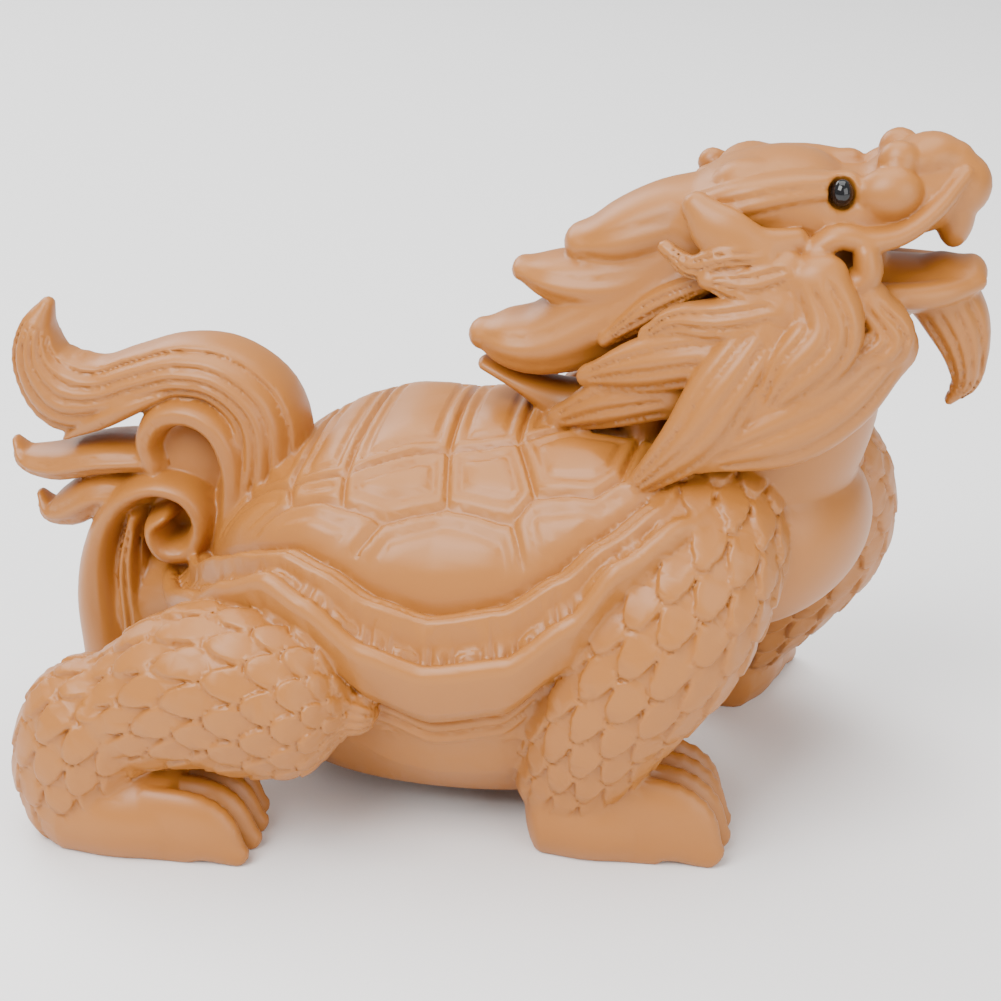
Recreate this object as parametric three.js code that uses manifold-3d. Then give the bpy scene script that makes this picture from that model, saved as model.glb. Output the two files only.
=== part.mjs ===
import * as THREE from "three";
import { mergeVertices } from "three/addons/utils/BufferGeometryUtils.js";
import Module from "manifold-3d";

const wasm = await Module();
wasm.setup();

// Driving dimensions, in millimetres. The figure faces +X and stands on Z = 0.
const shellCentreX = -4;
const domeHalfLength = 34;
const domeHalfWidth = 25;
const rimWidth = 6;
const domeTopHeight = 52;
const domeLean = 0.06;
const domeFullness = 0.6;
const ovalPower = 2.2;
const scuteRise = 0.8;
const scuteInset = 0.9;
const bellyHeight = 5;
const scaleStep = 0.4;
const scaleHang = 0.22;
const eyeRadius = 1.5;
const seatGap = 0.3;
const shellSegments = 28;

// Moves the carving so that the origin lies under the middle of its outline.
const figureShift = [3, -2.6, 0];

// Height of the rim's lip and of the dome's foot, by degrees round the shell from its front.
const lipHeights = [[0, 46], [28, 48.5], [45, 47.3], [57, 43], [65, 36.5], [76, 31.2], [90, 29.6],
  [101, 31.8], [111, 36.6], [119, 39], [129, 36], [139, 32.2], [155, 29], [180, 28]];
const footHeights = [[0, 47], [28, 48.8], [45, 47.4], [57, 43.4], [65, 39.5], [76, 35.4], [90, 33.7],
  [101, 35.4], [111, 38.5], [119, 39.9], [129, 38.3], [139, 35.8], [155, 31.5], [180, 29.5]];

function heightRound(table, degrees) {
  const angle = Math.abs(((degrees + 180) % 360 + 360) % 360 - 180);
  const next = Math.max(1, table.findIndex(([at]) => at >= angle));
  const [fromAngle, fromHeight] = table[next - 1];
  const [toAngle, toHeight] = table[next];
  const share = THREE.MathUtils.smoothstep(angle, fromAngle, toAngle);
  const straight = (angle - fromAngle) / (toAngle - fromAngle);
  return THREE.MathUtils.lerp(fromHeight, toHeight, (share + straight) / 2);
}

function ovalPoint(degrees, halfLength, halfWidth) {
  const angle = THREE.MathUtils.degToRad(degrees);
  const across = Math.cos(angle);
  const along = Math.sin(angle);
  const reach = (Math.abs(across) ** ovalPower + Math.abs(along) ** ovalPower) ** (-1 / ovalPower);
  return [shellCentreX + halfLength * across * reach, halfWidth * along * reach];
}

// Manifold solids from three.js geometry, and back.
function solidFrom(geometry) {
  const bare = geometry.clone();
  bare.deleteAttribute("normal");
  bare.deleteAttribute("uv");
  const merged = mergeVertices(bare, 1e-5);
  return new wasm.Manifold(new wasm.Mesh({
    numProp: 3,
    vertProperties: new Float32Array(merged.attributes.position.array),
    triVerts: new Uint32Array(merged.index.array),
  }));
}

function geometryFrom(solid) {
  const mesh = solid.getMesh();
  const geometry = new THREE.BufferGeometry();
  geometry.setAttribute("position", new THREE.BufferAttribute(mesh.vertProperties, 3));
  geometry.setIndex(new THREE.BufferAttribute(mesh.triVerts, 1));
  geometry.computeVertexNormals();
  return geometry;
}

// A closed skin over rings of equal length, with a point at each end.
function skinRings(firstPoint, rings, lastPoint) {
  const count = rings[0].length;
  const points = [firstPoint, ...rings.flat(), lastPoint];
  const faces = [];
  const at = (ring, side) => 1 + ring * count + (side % count);
  for (let side = 0; side < count; side += 1) {
    faces.push(0, at(0, side + 1), at(0, side));
    faces.push(points.length - 1, at(rings.length - 1, side), at(rings.length - 1, side + 1));
    for (let ring = 0; ring + 1 < rings.length; ring += 1) {
      faces.push(at(ring, side), at(ring, side + 1), at(ring + 1, side + 1));
      faces.push(at(ring, side), at(ring + 1, side + 1), at(ring + 1, side));
    }
  }
  const geometry = new THREE.BufferGeometry();
  geometry.setAttribute("position", new THREE.Float32BufferAttribute(points.flat(), 3));
  geometry.setIndex(faces);
  return geometry;
}

// A tapering form along a smooth line. Each station is [x, y, z, half width, half thickness].
// Its thickness lies along "face"; "flute" sinks every second edge, as carved strands do.
function sweep(stations, { sides = 8, steps = 5, face = [0, 1, 0], flute = 0, blunt = 0.5 } = {}) {
  const line = new THREE.CatmullRomCurve3(stations.map(([x, y, z]) => new THREE.Vector3(x, y, z)));
  const sizeAt = (share, which) => {
    const place = share * (stations.length - 1);
    const low = Math.min(Math.floor(place), stations.length - 2);
    return THREE.MathUtils.lerp(stations[low][which], stations[low + 1][which], place - low);
  };
  const faceAxis = new THREE.Vector3(...face);
  const ringAt = (share, scale, push) => {
    const centre = line.getPoint(share);
    const tangent = line.getTangent(share);
    const thick = faceAxis.clone().addScaledVector(tangent, -faceAxis.dot(tangent)).normalize();
    const wide = new THREE.Vector3().crossVectors(thick, tangent);
    centre.addScaledVector(tangent, push);
    return Array.from({ length: sides }, (_, side) => {
      const turn = (2 * Math.PI * side) / sides;
      const sink = side % 2 ? 1 - flute : 1;
      return centre.clone()
        .addScaledVector(wide, Math.cos(turn) * sizeAt(share, 3) * scale * sink)
        .addScaledVector(thick, Math.sin(turn) * sizeAt(share, 4) * scale * sink)
        .toArray();
    });
  };
  const rings = Array.from({ length: steps + 1 }, (_, step) => ringAt(step / steps, 1, 0));
  const startPush = blunt * Math.min(stations[0][3], stations[0][4]);
  const endPush = blunt * Math.min(stations.at(-1)[3], stations.at(-1)[4]);
  const start = line.getPoint(0).addScaledVector(line.getTangent(0), -startPush);
  const end = line.getPoint(1).addScaledVector(line.getTangent(1), endPush);
  return solidFrom(skinRings(start.toArray(), rings, end.toArray()));
}

// A limb in rows of scales: every second corner of a row stands out and hangs over the row below.
function scaledLimb(stations, rows, scalesRound) {
  const line = new THREE.CatmullRomCurve3(stations.map(([x, y, z]) => new THREE.Vector3(x, y, z)));
  const sizeAt = (share, which) => {
    const place = share * (stations.length - 1);
    const low = Math.min(Math.floor(place), stations.length - 2);
    return THREE.MathUtils.lerp(stations[low][which], stations[low + 1][which], place - low);
  };
  const sides = scalesRound * 2;
  const faceAxis = new THREE.Vector3(0, 1, 0);
  const rings = Array.from({ length: rows }, (_, row) => Array.from({ length: sides }, (_, side) => {
    const stands = (side + row) % 2;
    const share = THREE.MathUtils.clamp((row + 0.5 + (stands ? scaleHang : -scaleHang)) / rows, 0, 1);
    const tangent = line.getTangent(share);
    const thick = faceAxis.clone().addScaledVector(tangent, -faceAxis.dot(tangent)).normalize();
    const wide = new THREE.Vector3().crossVectors(thick, tangent);
    const turn = (2 * Math.PI * side) / sides;
    const step = stands ? scaleStep : -scaleStep;
    return line.getPoint(share)
      .addScaledVector(wide, Math.cos(turn) * (sizeAt(share, 3) + step))
      .addScaledVector(thick, Math.sin(turn) * (sizeAt(share, 4) + step))
      .toArray();
  }));
  const start = line.getPoint(0);
  const end = line.getPoint(1).addScaledVector(line.getTangent(1), 1);
  return solidFrom(skinRings(start.toArray(), rings, end.toArray()));
}

function lump(centre, radii, tiltDegrees = 0, detail = 10) {
  const ball = new THREE.SphereGeometry(1, detail, Math.round(detail * 0.7));
  ball.rotateX(Math.PI / 2);
  ball.scale(...radii);
  ball.rotateY(THREE.MathUtils.degToRad(-tiltDegrees));
  ball.translate(...centre);
  return solidFrom(ball);
}

// Shell: double moulding, waved rim with a rolled lip, wall, plastron and belly.
function domeHeight(x, y) {
  const along = Math.abs((x - shellCentreX) / domeHalfLength);
  const across = Math.abs(y / domeHalfWidth);
  const share = Math.min((along ** ovalPower + across ** ovalPower) ** (1 / ovalPower), 1);
  const angle = Math.atan2(y / domeHalfWidth, (x - shellCentreX) / domeHalfLength);
  const foot = heightRound(footHeights, THREE.MathUtils.radToDeg(angle));
  const top = domeTopHeight + domeLean * (x - shellCentreX);
  return foot + (top - foot) * (1 - share ** 2) ** domeFullness;
}

function shellRing(offset, heightAt) {
  return Array.from({ length: shellSegments }, (_, segment) => {
    const degrees = (360 * segment) / shellSegments;
    const [x, y] = ovalPoint(degrees, domeHalfLength + offset, domeHalfWidth + offset);
    return [x, y, heightAt(degrees, x, y)];
  });
}

function carveShell() {
  const foot = (degrees) => heightRound(footHeights, degrees);
  const lip = (degrees) => heightRound(lipHeights, degrees);
  const belly = (share) => (degrees) => THREE.MathUtils.lerp(lip(degrees) - 11, bellyHeight, share);
  const rings = [
    shellRing(-8.5, belly(1)),
    shellRing(-3, belly(0.6)),
    shellRing(0.6, (degrees) => lip(degrees) - 10.8),
    shellRing(0.2, (degrees) => lip(degrees) - 9.8),
    shellRing(rimWidth - 3.4, (degrees) => lip(degrees) - 9),
    shellRing(rimWidth - 0.2, (degrees) => lip(degrees) - 4.6),
    shellRing(rimWidth + 0.6, (degrees) => lip(degrees) - 1.6),
    shellRing(rimWidth - 0.2, (degrees) => lip(degrees)),
    shellRing(2.6, (degrees) => THREE.MathUtils.lerp(foot(degrees), lip(degrees), 0.4) - 0.8),
    shellRing(1.7, (degrees) => foot(degrees) - 0.2),
    shellRing(0.7, (degrees) => foot(degrees) - 0.9),
    shellRing(-3, (degrees) => foot(degrees) - 0.4),
  ];
  const middleHeight = domeTopHeight - 4;
  return solidFrom(skinRings([shellCentreX, 0, bellyHeight], rings, [shellCentreX, 0, middleHeight]));
}

// Dome: a cap of scutes with a raised plate in each, all its corners on one dome surface.
// Corners are [x, y] on the near side; the far side mirrors them. Seams run between corners.
const seamCorners = {
  rearA: [-31, -9], rearB: [-24, -14], midA: [-16.5, -15.5], midB: [-8.4, -12],
  midC: [-4.4, -11.4], midD: [4.2, -10.4], frontA: [10.5, -7.6], frontB: [19, -8.6],
  lowA: [-23, -17.6], lowB: [-16, -19.6], lowC: [-10.8, -20.4], lowD: [-3.4, -18.4], lowE: [5, -20],
  lowF: [7.4, -17.8], lowG: [14.6, -18.2], lowH: [17.6, -16.4],
};
const footAngles = { footTail: 180, footA: 158, footB: 136, footC: 122, footD: 108, footE: 88, footF: 71,
  footG: 55, footH: 40, footI: 22, footNose: 0 };
const costalScutes = [
  ["rearA", "rearB", "lowA", "footB", "footA"],
  ["rearB", "midA", "lowB", "lowA"],
  ["midA", "midB", "midC", "lowD", "lowC", "lowB"],
  ["midC", "midD", "lowF", "lowE", "lowD"],
  ["midD", "frontA", "frontB", "lowH", "lowG", "lowF"],
  ["lowA", "lowB", "lowC", "footD", "footC", "footB"],
  ["lowC", "lowD", "lowE", "footF", "footE", "footD"],
  ["lowE", "lowF", "lowG", "lowH", "footH", "footG", "footF"],
  ["frontB", "footI", "footH", "lowH"],
];
const vertebralScutes = [["rearA", "footA", "footTail"], ["rearB", "rearA"], ["midA", "rearB"],
  ["midC", "midB", "midA"], ["midD", "midC"], ["frontA", "midD"], ["frontB", "frontA"],
  ["footNose", "footI", "frontB"]];

function cornerAt(name, side) {
  const [x, y] = seamCorners[name] ?? ovalPoint(-footAngles[name], domeHalfLength, domeHalfWidth);
  return [x, -side * y, domeHeight(x, y)];
}

// One scute: bevels from its seam corners up to a raised plate that is fanned from its middle.
function addScute(faces, corners) {
  const mean = (axis) => corners.reduce((sum, corner) => sum + corner[axis], 0) / corners.length;
  const middle = [mean(0), mean(1)];
  const raised = corners.map(([x, y]) => {
    const away = new THREE.Vector2(x - middle[0], y - middle[1]);
    away.setLength(Math.max(0.2, away.length() - scuteInset));
    const place = [middle[0] + away.x, middle[1] + away.y];
    return [...place, domeHeight(...place) + scuteRise];
  });
  const peak = [...middle, domeHeight(...middle) + scuteRise];
  corners.forEach((corner, index) => {
    const after = (index + 1) % corners.length;
    faces.push([corner, corners[after], raised[after]], [corner, raised[after], raised[index]]);
    faces.push([raised[index], raised[after], peak]);
  });
}

function carveDome() {
  const faces = [];
  const rim = [];
  for (const side of [-1, 1]) {
    for (const names of costalScutes) {
      const corners = names.map((name) => cornerAt(name, side));
      addScute(faces, side > 0 ? corners : corners.reverse());
    }
    rim.push(...Object.keys(footAngles).map((name) => cornerAt(name, side)));
  }
  for (const names of vertebralScutes) {
    const near = names.map((name) => cornerAt(name, -1));
    const far = names.map((name) => cornerAt(name, 1)).filter(([, y]) => Math.abs(y) > 0.01).reverse();
    addScute(faces, [...near, ...far].reverse());
  }
  const base = [shellCentreX, 0, 26];
  for (let index = 0; index + 1 < rim.length / 2; index += 1) {
    const half = rim.length / 2;
    faces.push([rim[index + 1], rim[index], base], [rim[half + index], rim[half + index + 1], base]);
  }
  const geometry = new THREE.BufferGeometry();
  geometry.setAttribute("position", new THREE.Float32BufferAttribute(faces.flat(2), 3));
  return solidFrom(geometry);
}

// Tail: a flame of locks in the middle plane. Stations are [x, z, half width, half thickness].
function flat(y, stations) {
  return stations.map(([x, z, wide, thick]) => [x, y, z, wide, thick]);
}

function carveTail() {
  const swoosh = flat(0, [[-37, 27, 5, 8], [-33, 36, 5.4, 8], [-30.5, 44, 5.6, 7.6], [-31.4, 50.2, 5.2, 7],
    [-35.8, 54, 4.6, 6.6], [-41.2, 54.6, 4.2, 6.2], [-47, 52.8, 4.2, 5.8], [-52.5, 50.6, 4.6, 5.4],
    [-57.6, 50.4, 6, 5], [-61, 54.2, 4.2, 4.4], [-61.2, 58.6, 2.6, 3.4], [-59.8, 61.8, 1, 1.5]]);
  const curl = flat(0, [[-34.6, 35, 2.6, 8.4], [-33.9, 43, 2.6, 8.4], [-36, 48.2, 2.5, 8.2],
    [-39.8, 50, 2.4, 7.8], [-43.8, 48.9, 2.4, 7.4], [-45.8, 45.4, 2.2, 7], [-45, 42, 2, 6.6]]);
  const volute = flat(0, [[-53.2, 13.4, 4.8, 7], [-54, 22, 4.2, 7.4], [-53.6, 28.4, 3.2, 7.6],
    [-51.8, 33.9, 2.4, 8], [-48.4, 38.2, 2, 8.6], [-43.9, 40, 1.9, 9], [-39.8, 38.8, 2.1, 9.2],
    [-38.2, 35.2, 2.3, 9.2], [-40, 31.4, 2.4, 9.2], [-43.6, 31.2, 2.2, 9.4], [-44.9, 34.4, 1.8, 9.4],
    [-43, 36.2, 1.2, 9]]);
  const locks = [
    flat(0, [[-43, 52.2, 1, 6], [-47.7, 50.2, 1.8, 6.6], [-52.4, 47.6, 1.8, 5.8], [-57.8, 44.4, 0.5, 3.5]]),
    flat(0, [[-45, 42.6, 2.2, 6], [-53, 41.8, 2.4, 6], [-60, 40, 2.3, 4.6], [-64.4, 40.4, 1.5, 3],
      [-65.8, 42.6, 0.5, 1.2]]),
    flat(0, [[-47, 38, 2.4, 6], [-53.6, 36.8, 2.9, 6], [-58.4, 33.8, 2.8, 4.6], [-61.6, 33, 1.5, 3],
      [-63, 35, 0.5, 1.2]]),
    flat(0, [[-48.6, 12, 4, 8], [-48.8, 20, 3.4, 8], [-49.2, 28, 2.6, 7.6], [-48, 35, 1.4, 7]]),
  ];
  return [
    sweep(swoosh, { sides: 8, steps: 12, flute: 0.1 }),
    sweep(curl, { sides: 6, steps: 6 }),
    sweep(volute, { sides: 6, steps: 14 }),
    ...locks.map((lock) => sweep(lock, { sides: 6, steps: 3 })),
    lump([-42, 0, 40], [8, 5, 9], 0, 6),
    sweep(flat(0, [[-30, 21.8, 9, 10], [-38.7, 23.8, 8, 9], [-47, 21, 7, 7.5]]), { sides: 6, steps: 2 }),
  ];
}

// Legs. Stations are [x, y, z, half width, half thickness], from the body to the ankle.
const frontLegNear = [[28.3, -8, 45.8, 9, 8], [27.1, -16.4, 40, 10.4, 8], [23.3, -20.6, 31.4, 10.6, 8.6],
  [16.6, -20.4, 20.6, 9.4, 8.2], [12.6, -17.6, 9.5, 7.6, 7]];
const frontLegFar = [[35, 6, 46, 10, 8], [39.5, 13, 39, 10.4, 8.4], [39.8, 17.5, 30, 10.2, 8.6],
  [34, 22, 18.5, 9, 8], [28, 25.5, 8.5, 7.4, 7]];
const rearThigh = [[-13.6, -27, 21, 3, 3], [-17.5, -27, 21.6, 9, 7], [-24, -27, 22.4, 11, 8.6],
  [-33, -27, 22.4, 10.6, 8.6], [-42.5, -27, 18.4, 8, 7.4]];
const rearShank = [[-42, -26, 21.5, 5, 6], [-46.5, -27, 17, 8.6, 7.6], [-49.6, -27, 10.5, 8.4, 7.4],
  [-50, -26.5, 5, 7.4, 6.8]];
const toeSpacing = 3.6;

// A foot: a blunt heel block and four clawed toes that fan from it. Turn is in degrees from +X.
function carveFoot({ heel, turn, heelHeight, length, toeHeight, toeLength }) {
  const spin = THREE.MathUtils.degToRad(turn);
  const forward = (along, across, z, wide, thick) => [
    heel[0] + along * Math.cos(spin) - across * Math.sin(spin),
    heel[1] + along * Math.sin(spin) + across * Math.cos(spin), z, wide, thick];
  const face = [-Math.sin(spin), Math.cos(spin), 0];
  const block = sweep([forward(-1, 0, heelHeight * 0.36, heelHeight * 0.56, 7),
    forward(length * 0.45, 0, heelHeight * 0.38, heelHeight * 0.62, 8.2),
    forward(length, 0, heelHeight * 0.36, heelHeight * 0.58, 8)], { sides: 6, steps: 2, face, blunt: 0.2 });
  const toes = [-1.5, -0.5, 0.5, 1.5].map((place) => {
    const reach = toeLength - Math.abs(place) * 0.8;
    const across = place * toeSpacing;
    return sweep([forward(length - 2, across, toeHeight * 0.5, toeHeight * 0.56, 2.1),
      forward(length + reach * 0.55, across * 1.05, toeHeight * 0.44, toeHeight * 0.5, 2.2),
      forward(length + reach, across * 1.1, toeHeight * 0.12, toeHeight * 0.18, 1.2)],
    { sides: 5, steps: 2, face });
  });
  return [block, ...toes];
}

function carveLegs() {
  const onSide = (stations, side) => stations.map(([x, y, z, wide, thick]) => [x, -side * y, z, wide, thick]);
  const rear = [-1, 1].flatMap((side) => [
    scaledLimb(onSide(rearThigh, side), 6, 7),
    scaledLimb(onSide(rearShank, side), 4, 6),
    ...carveFoot({ heel: [-50, side * 26.6], turn: -side * 3, heelHeight: 12, length: 12,
      toeHeight: 9.5, toeLength: 11 }),
  ]);
  return [
    scaledLimb(frontLegNear, 7, 7),
    scaledLimb(frontLegFar, 7, 7),
    ...carveFoot({ heel: [10, -17], turn: 4, heelHeight: 12, length: 10, toeHeight: 11.5, toeLength: 11.5 }),
    ...carveFoot({ heel: [26.6, 23], turn: 72, heelHeight: 11.5, length: 8, toeHeight: 10, toeLength: 9 }),
    ...rear,
  ];
}

// Chest and neck inside the mane.
function carveNeck() {
  return [
    lump([31.5, 1, 38], [16.5, 17, 13], 20, 9),
    sweep([[29, 0, 40, 11, 13], [35, 0, 52, 11.5, 13], [37, 0, 63, 11, 12], [37, 0, 74, 10, 10]],
      { sides: 6, steps: 2 }),
  ];
}

// Horn: two branches grown into one, with three round tines, in the middle plane.
function carveHorn() {
  return [
    sweep(flat(0, [[29, 77.5, 6, 7], [21.4, 71, 6.4, 7.4], [13.2, 64.9, 6, 7.2], [5.4, 61.3, 4.6, 6.6],
      [0.5, 61.2, 3.4, 5.4], [-2, 61.4, 2, 3]]), { sides: 8, steps: 5 }),
    sweep(flat(0, [[21.4, 71.9, 5, 6.8], [12.7, 69.3, 4.4, 6.4], [6.4, 69.6, 2.9, 5.4], [3, 70.2, 1.5, 3]]),
      { sides: 6, steps: 3 }),
    sweep(flat(0, [[29, 80.2, 4, 6.8], [21.3, 77.2, 5.2, 6.6], [14.4, 74.8, 4.2, 6], [10.4, 74, 2.4, 4]]),
      { sides: 6, steps: 3 }),
    sweep(flat(1.5, [[-2, 57.5, 0.8, 2], [3, 55.5, 1.4, 3.5], [8.9, 52.8, 3.2, 4], [15.8, 52, 4.2, 6]]),
      { sides: 6, steps: 2 }),
  ];
}

// Head: skull, brows, muzzle, nostrils, lips, open jaws, cheek curls and ears.
function carveHead() {
  const skull = sweep(flat(0, [[24.5, 77, 5, 8], [30, 79.5, 6.4, 9.4], [36, 80.3, 6.4, 9.4],
    [41, 79.8, 4.8, 8.8], [46, 80.6, 4.6, 7.2], [51, 82.2, 4.6, 5.6], [54.6, 83.2, 4, 4]]), { sides: 8, steps: 5 });
  const nose = sweep(flat(0, [[43.8, 82.4, 1.8, 4.2], [47.2, 84.8, 2.4, 4.4], [51.4, 86.4, 2.9, 4],
    [54, 86, 2.4, 2.8]]), { sides: 6, steps: 2 });
  const frontLip = lump([54.6, 0, 80], [2.4, 3.6, 4.4], 0, 6);
  const jaw = sweep(flat(0, [[38.8, 71.4, 4, 8.4], [45.5, 70.5, 3.6, 8], [52.1, 71.2, 2.8, 6.8],
    [57, 72.5, 2, 4.4]]), { sides: 6, steps: 3 });
  const onSide = (side, stations, options) => sweep(
    stations.map(([x, y, z, wide, thick]) => [x, side * y, z, wide, thick]), options);
  const paired = [-1, 1].flatMap((side) => [
    lump([47.6, side * 3.2, 86.4], [2.5, 2.2, 2.5], 20, 6),
    lump([46.6, side * 5.4, 83], [4, 2.8, 3.2], 15, 7),
    onSide(side, [[41.8, 5.2, 83.4, 2.2, 2.4], [35.6, 6.6, 83, 2.8, 3], [29.6, 7.6, 81.7, 3, 3],
      [24.9, 6.5, 80.5, 2, 2]], { sides: 6, steps: 3 }),
    onSide(side, [[38.6, 10.6, 77.2, 1.6, 2], [41.2, 10.2, 79, 1.5, 2], [44.7, 9, 78.4, 1.4, 2.2],
      [48.5, 7.2, 79, 1.3, 2.2], [52.2, 5.2, 81.6, 1.2, 2], [55.2, 2.4, 85, 1, 1.6]], { sides: 5, steps: 4 }),
    onSide(side, [[38.4, 10.4, 76.6, 1.4, 2], [39.2, 10.6, 74, 1.5, 2.4], [42, 10.4, 73.2, 1.7, 2.6],
      [44.8, 10.2, 74.8, 1.8, 2.6], [44.6, 10, 77.2, 1.6, 2.4]], { sides: 5, steps: 4 }),
    onSide(side, [[44, 7.8, 71.9, 1.2, 1.6], [48.8, 7.2, 71.3, 1.6, 1.8], [53.6, 5.6, 71.5, 1.6, 1.8],
      [57.6, 2.6, 72.2, 1.2, 1.4]], { sides: 5, steps: 3 }),
    onSide(side, [[36.4, 10.6, 78.4, 1.6, 1.6], [32, 11.8, 77.6, 2.8, 2], [27.6, 11.6, 79.5, 3.2, 2],
      [24.8, 10.4, 82, 1.8, 1.6]], { sides: 6, steps: 2 }),
    lump([29.8, side * 4, 83.8], [3.6, 3.2, 2.4], 10, 6),
  ]);
  return [skull, nose, frontLip, jaw, ...paired];
}

// Mane and beard: locks of carved strands, laid over the neck on both sides.
const maneLocks = [
  [[33.2, -12.6, 77, 1.6, 1.6], [28, -13.2, 76.6, 1.6, 1.6], [24.8, -12.2, 75.2, 1.5, 1.5],
    [21.4, -10.4, 76.8, 0.9, 1]],
  [[36.1, -12.6, 75, 2.8, 2.2], [31.4, -13.6, 73.6, 2.6, 2.2], [26.7, -13.6, 74.2, 1.2, 1.4]],
  [[26.8, -9.6, 72.8, 1.4, 2], [20.3, -8, 68.7, 2, 2.2], [14.2, -7, 63.9, 1, 1.4]],
  [[35.2, -13.4, 70.8, 3.4, 3], [28.6, -14.2, 69.4, 3, 2.8], [23, -12.8, 68.6, 2, 2.2],
    [19.8, -11.8, 66.4, 1.2, 1.4]],
  [[33.4, -13.6, 66.2, 3.4, 3.4], [25.9, -13.4, 64.8, 4, 3.4], [18.4, -11.2, 62.2, 3.4, 3],
    [12.3, -8.6, 59.7, 1.4, 1.6]],
  [[23.2, -10, 59.2, 3.6, 4], [15.6, -8.6, 56.8, 3.6, 3.4], [8.8, -6, 53, 1.8, 2]],
  [[33.8, -13.4, 68.1, 4.2, 3.6], [30, -16.2, 62.4, 4.6, 3.6], [26.1, -17.2, 56.1, 4, 3.2],
    [17.8, -16, 47.3, 0.9, 1.2]],
  [[38.9, -12.6, 74.5, 4, 3], [40.8, -14.6, 69.1, 4.6, 3.2], [37.1, -16.4, 64.1, 4, 3],
    [34, -17, 59.6, 1.2, 1.6]],
  [[47.8, -9.6, 66, 3.6, 3.6], [42, -13.4, 61.3, 5.6, 4.2], [35.4, -15.8, 57.4, 5.4, 3.8],
    [26.9, -17, 53, 1.6, 1.8]],
  [[45.1, -10.2, 71.6, 2.6, 3], [47.6, -11, 67.5, 3.6, 3.2], [42.9, -13.2, 64.3, 2.4, 2.6]],
];

function carveMane() {
  const beard = sweep(flat(0, [[53.6, 70.3, 4.4, 5.6], [56.2, 66, 4, 5], [57.4, 61.8, 2.8, 4],
    [57.4, 58.8, 1.9, 2.4], [55.8, 56.2, 0.6, 1]]), { sides: 6, steps: 4 });
  const crestLine = flat(0, [[29.1, 74.7, 4, 8], [23.4, 67.1, 4, 9], [19.6, 58.5, 4, 9], [18.8, 49.8, 4, 9]]);
  const crest = sweep(crestLine, { sides: 6, steps: 3 });
  const locks = maneLocks.flatMap((lock) => [-1, 1].map((side) => sweep(
    lock.map(([x, y, z, wide, thick]) => [x, -side * y, z, wide, thick]),
    { sides: 6, steps: 2 })));
  return [beard, crest, ...locks];
}

// Inlaid eye beads: their centre on the near side is mirrored for the other one.
const eyeCentre = [41.3, -7.2, 83.4];

function beadAt(side, grow) {
  const bead = new THREE.SphereGeometry(eyeRadius + grow, 10, 8);
  bead.scale(0.9, 1, 1.15);
  bead.translate(eyeCentre[0], -side * eyeCentre[1], eyeCentre[2]);
  return solidFrom(bead);
}

function carveFigure() {
  const pieces = [carveShell(), carveDome(), ...carveTail(), ...carveLegs(), ...carveNeck(), ...carveHorn(),
    ...carveHead(), ...carveMane()];
  const groundBlock = new THREE.BoxGeometry(300, 300, 60);
  groundBlock.translate(0, 0, -30);
  return wasm.Manifold.union(pieces)
    .subtract(solidFrom(groundBlock))
    .subtract(beadAt(-1, seatGap))
    .subtract(beadAt(1, seatGap));
}

function makeBoxwood() {
  return new THREE.MeshStandardMaterial({ color: 0xdca75c, roughness: 0.45, metalness: 0 });
}

function makeBlackGlass() {
  return new THREE.MeshStandardMaterial({ color: 0x0a0a0c, roughness: 0.08, metalness: 0 });
}

function namedMesh(name, solid, material) {
  const mesh = new THREE.Mesh(geometryFrom(solid), material);
  mesh.name = name;
  return mesh;
}

const group = new THREE.Group();
group.position.set(...figureShift);
group.add(namedMesh("carved_dragon_turtle", carveFigure(), makeBoxwood()));
group.add(namedMesh("eye_right", beadAt(-1, 0), makeBlackGlass()));
group.add(namedMesh("eye_left", beadAt(1, 0), makeBlackGlass()));

export default group;
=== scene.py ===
import math

import bpy
import numpy as np
import openvdb
from mathutils import Matrix, Vector

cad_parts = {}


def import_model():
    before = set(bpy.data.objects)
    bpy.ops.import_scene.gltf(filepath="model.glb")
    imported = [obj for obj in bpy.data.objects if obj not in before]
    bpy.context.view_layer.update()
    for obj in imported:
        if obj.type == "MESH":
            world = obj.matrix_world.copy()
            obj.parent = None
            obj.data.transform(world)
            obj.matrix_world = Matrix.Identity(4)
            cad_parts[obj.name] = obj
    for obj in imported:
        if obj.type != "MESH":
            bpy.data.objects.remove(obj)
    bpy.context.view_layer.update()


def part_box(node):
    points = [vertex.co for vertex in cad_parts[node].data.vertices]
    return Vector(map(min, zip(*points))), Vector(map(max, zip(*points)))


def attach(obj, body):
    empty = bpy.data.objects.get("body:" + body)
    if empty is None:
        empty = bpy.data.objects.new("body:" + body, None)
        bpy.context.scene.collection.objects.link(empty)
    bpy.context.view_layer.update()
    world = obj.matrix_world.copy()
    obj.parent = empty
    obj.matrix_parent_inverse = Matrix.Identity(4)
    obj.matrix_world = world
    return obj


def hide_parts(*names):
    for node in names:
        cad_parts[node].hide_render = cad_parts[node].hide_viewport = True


bl_info = {
    "name": "Carved dragon turtle",
    "version": (1, 0, 0),
    "blender": (4, 2, 0),
    "location": "3D View > Sidebar > Dragon turtle",
    "description": "Carves a boxwood dragon turtle, its inlaid eyes and a plain stage",
    "category": "Object",
}

# All carving below is in millimetres, with the figure facing +X on Z = 0 and its middle plane at Y = 0.
MM = 0.001
EYE_CENTRE = (41.3, -7.2, 83.4)
FAR = 9.0
MARGIN = 1.6


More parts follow.
